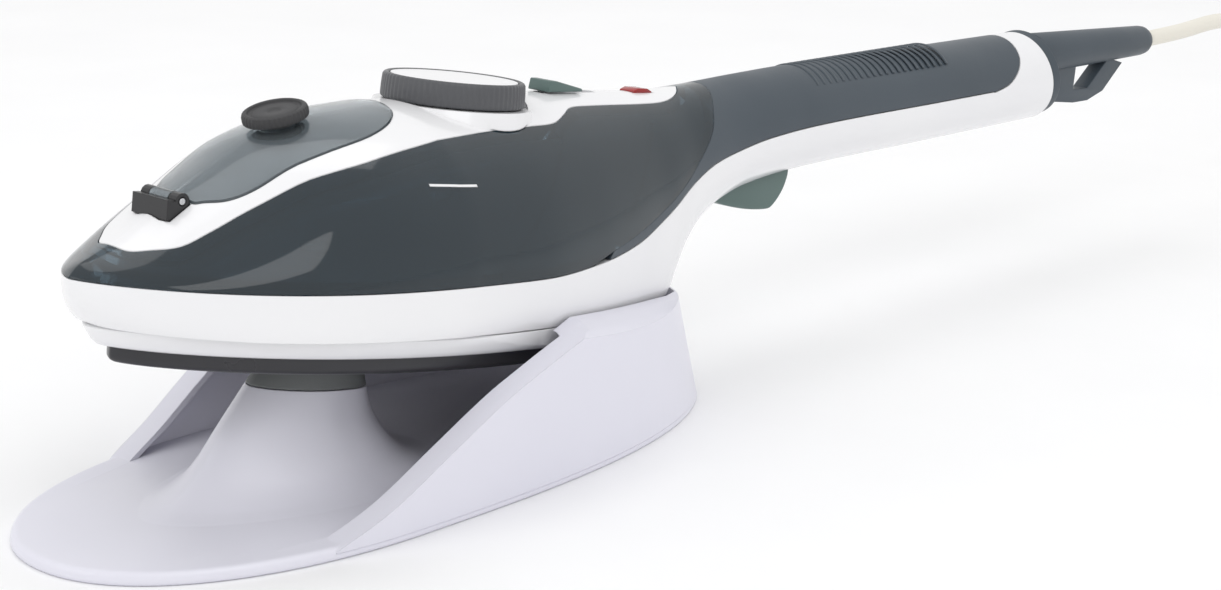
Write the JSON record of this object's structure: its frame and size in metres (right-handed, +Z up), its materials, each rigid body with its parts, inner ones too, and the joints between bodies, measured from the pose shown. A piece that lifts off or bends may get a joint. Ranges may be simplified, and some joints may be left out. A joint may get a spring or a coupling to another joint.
{
  "type": "travel steam iron with stand",
  "caption": "Slim hand-held steam iron with smoky water tank, dial, pump trigger and long handle, resting nose-up on an open moulded stand.",
  "frame": {"origin": "on the stand's flat underside, near the middle of its footprint", "axes": "+X from the iron's nose towards its handle and cord, +Z up from the table"},
  "size_m": [0.7808, 0.1397, 0.1053],
  "materials": {
    "stand_plastic": "satin, slightly lilac white",
    "white_plastic": "gloss",
    "tank_plastic": "translucent smoky blue, polished",
    "lid_plastic": "translucent grey, polished",
    "grip_plastic": "fine matte",
    "dial_plastic": "matte",
    "dial_print": "printed satin",
    "black_plastic": "satin",
    "green_plastic": "satin",
    "lens": "clear red",
    "heatproof_pad": "matte moulded",
    "rubber": "matte",
    "sole_coating": "dark non-stick coating",
    "cast_metal": "as cast",
    "steel": "drawn",
    "brass": "plain",
    "silicone": "translucent silicone",
    "phenolic": "matte",
    "lead_black": "matte",
    "cord_jacket": "soft vinyl"
  },
  "bodies": {
    "stand": {"stand_shell": "stand_plastic", "rest_pad": "heatproof_pad", "foot_pad_1": "rubber", "foot_pad_2": "rubber", "foot_pad_3": "rubber", "foot_pad_4": "rubber", "cord_run": "cord_jacket", "cord_coil": "cord_jacket", "cord_tie": "black_plastic", "cord_tail": "cord_jacket", "plug_body": "cord_jacket", "plug_prong_1": "brass", "plug_prong_2": "brass"},
    "lid": {"fill_lid": "lid_plastic", "lid_plug": "rubber"},
    "dial": {"dial_knob": "dial_plastic", "dial_cap": "dial_print", "dial_shaft": "steel"},
    "slider": {"steam_slider": "green_plastic"},
    "valve": {"valve_needle": "steel"},
    "trigger": {"trigger": "green_plastic"},
    "plunger": {"pump_plunger": "white_plastic", "pump_spring": "steel"},
    "iron": {"soleplate": "sole_coating", "sole_casting": "cast_metal", "heating_element": "steel", "steam_chamber_cover": "steel", "heat_shield": "white_plastic", "lower_shell": "white_plastic", "water_tank": "tank_plastic", "top_cover": "white_plastic", "grip_cover": "grip_plastic", "hinge_bracket": "black_plastic", "hinge_pin": "steel", "thermostat": "steel", "valve_seat": "silicone", "indicator_lens": "lens", "indicator_lamp": "lens", "trigger_pin": "steel", "pump_body": "phenolic", "suction_tube": "silicone", "delivery_tube": "silicone", "thermal_fuse": "brass", "live_lead": "lead_black", "neutral_lead": "silicone", "terminal_block": "phenolic", "inner_cord": "cord_jacket", "cord_clamp": "black_plastic", "end_cap": "grip_plastic", "cord_guard": "grip_plastic", "shield_screw_1": "steel", "shield_screw_2": "steel", "shield_screw_3": "steel", "shield_screw_4": "steel", "handle_screw_1": "steel", "handle_screw_2": "steel"}
  },
  "joints": [
    {"name": "iron_lift", "type": "slide", "parent": "stand", "child": "iron", "axis": [0, 0, 1], "range_m": [0, 0.12]},
    {"name": "lid_hinge", "type": "hinge", "parent": "iron", "child": "lid", "pos_m": [-0.06333, 0, 0.08557], "axis": [0, -1, 0], "range_deg": [0, 95]},
    {"name": "dial_turn", "type": "hinge", "parent": "iron", "child": "dial", "pos_m": [0.03196, 0, 0.09571], "axis": [0.1456, 0, 0.9893], "range_deg": [0, 270]},
    {"name": "steam_slide", "type": "slide", "parent": "iron", "child": "slider", "axis": [0.9893, 0, -0.1456], "range_m": [0, 0.006]},
    {"name": "valve_lift", "type": "slide", "parent": "iron", "child": "valve", "axis": [0.1456, 0, 0.9893], "range_m": [0, 0.003]},
    {"name": "trigger_pull", "type": "hinge", "parent": "iron", "child": "trigger", "pos_m": [0.13595, 0, 0.05919], "axis": [0, -1, 0], "range_deg": [0, 8], "stiffness_Nm_per_rad": 0.25, "springref_deg": -5.73},
    {"name": "pump_slide", "type": "slide", "parent": "iron", "child": "plunger", "axis": [0.1456, 0, 0.9893], "range_m": [0, 0.004], "deforming": ["pump_spring"]}
  ],
  "couplings": [
    {"joint": "pump_slide", "follows": "trigger_pull", "m_per_rad": 0.028},
    {"joint": "valve_lift", "follows": "steam_slide", "ratio": 0.5}
  ]
}
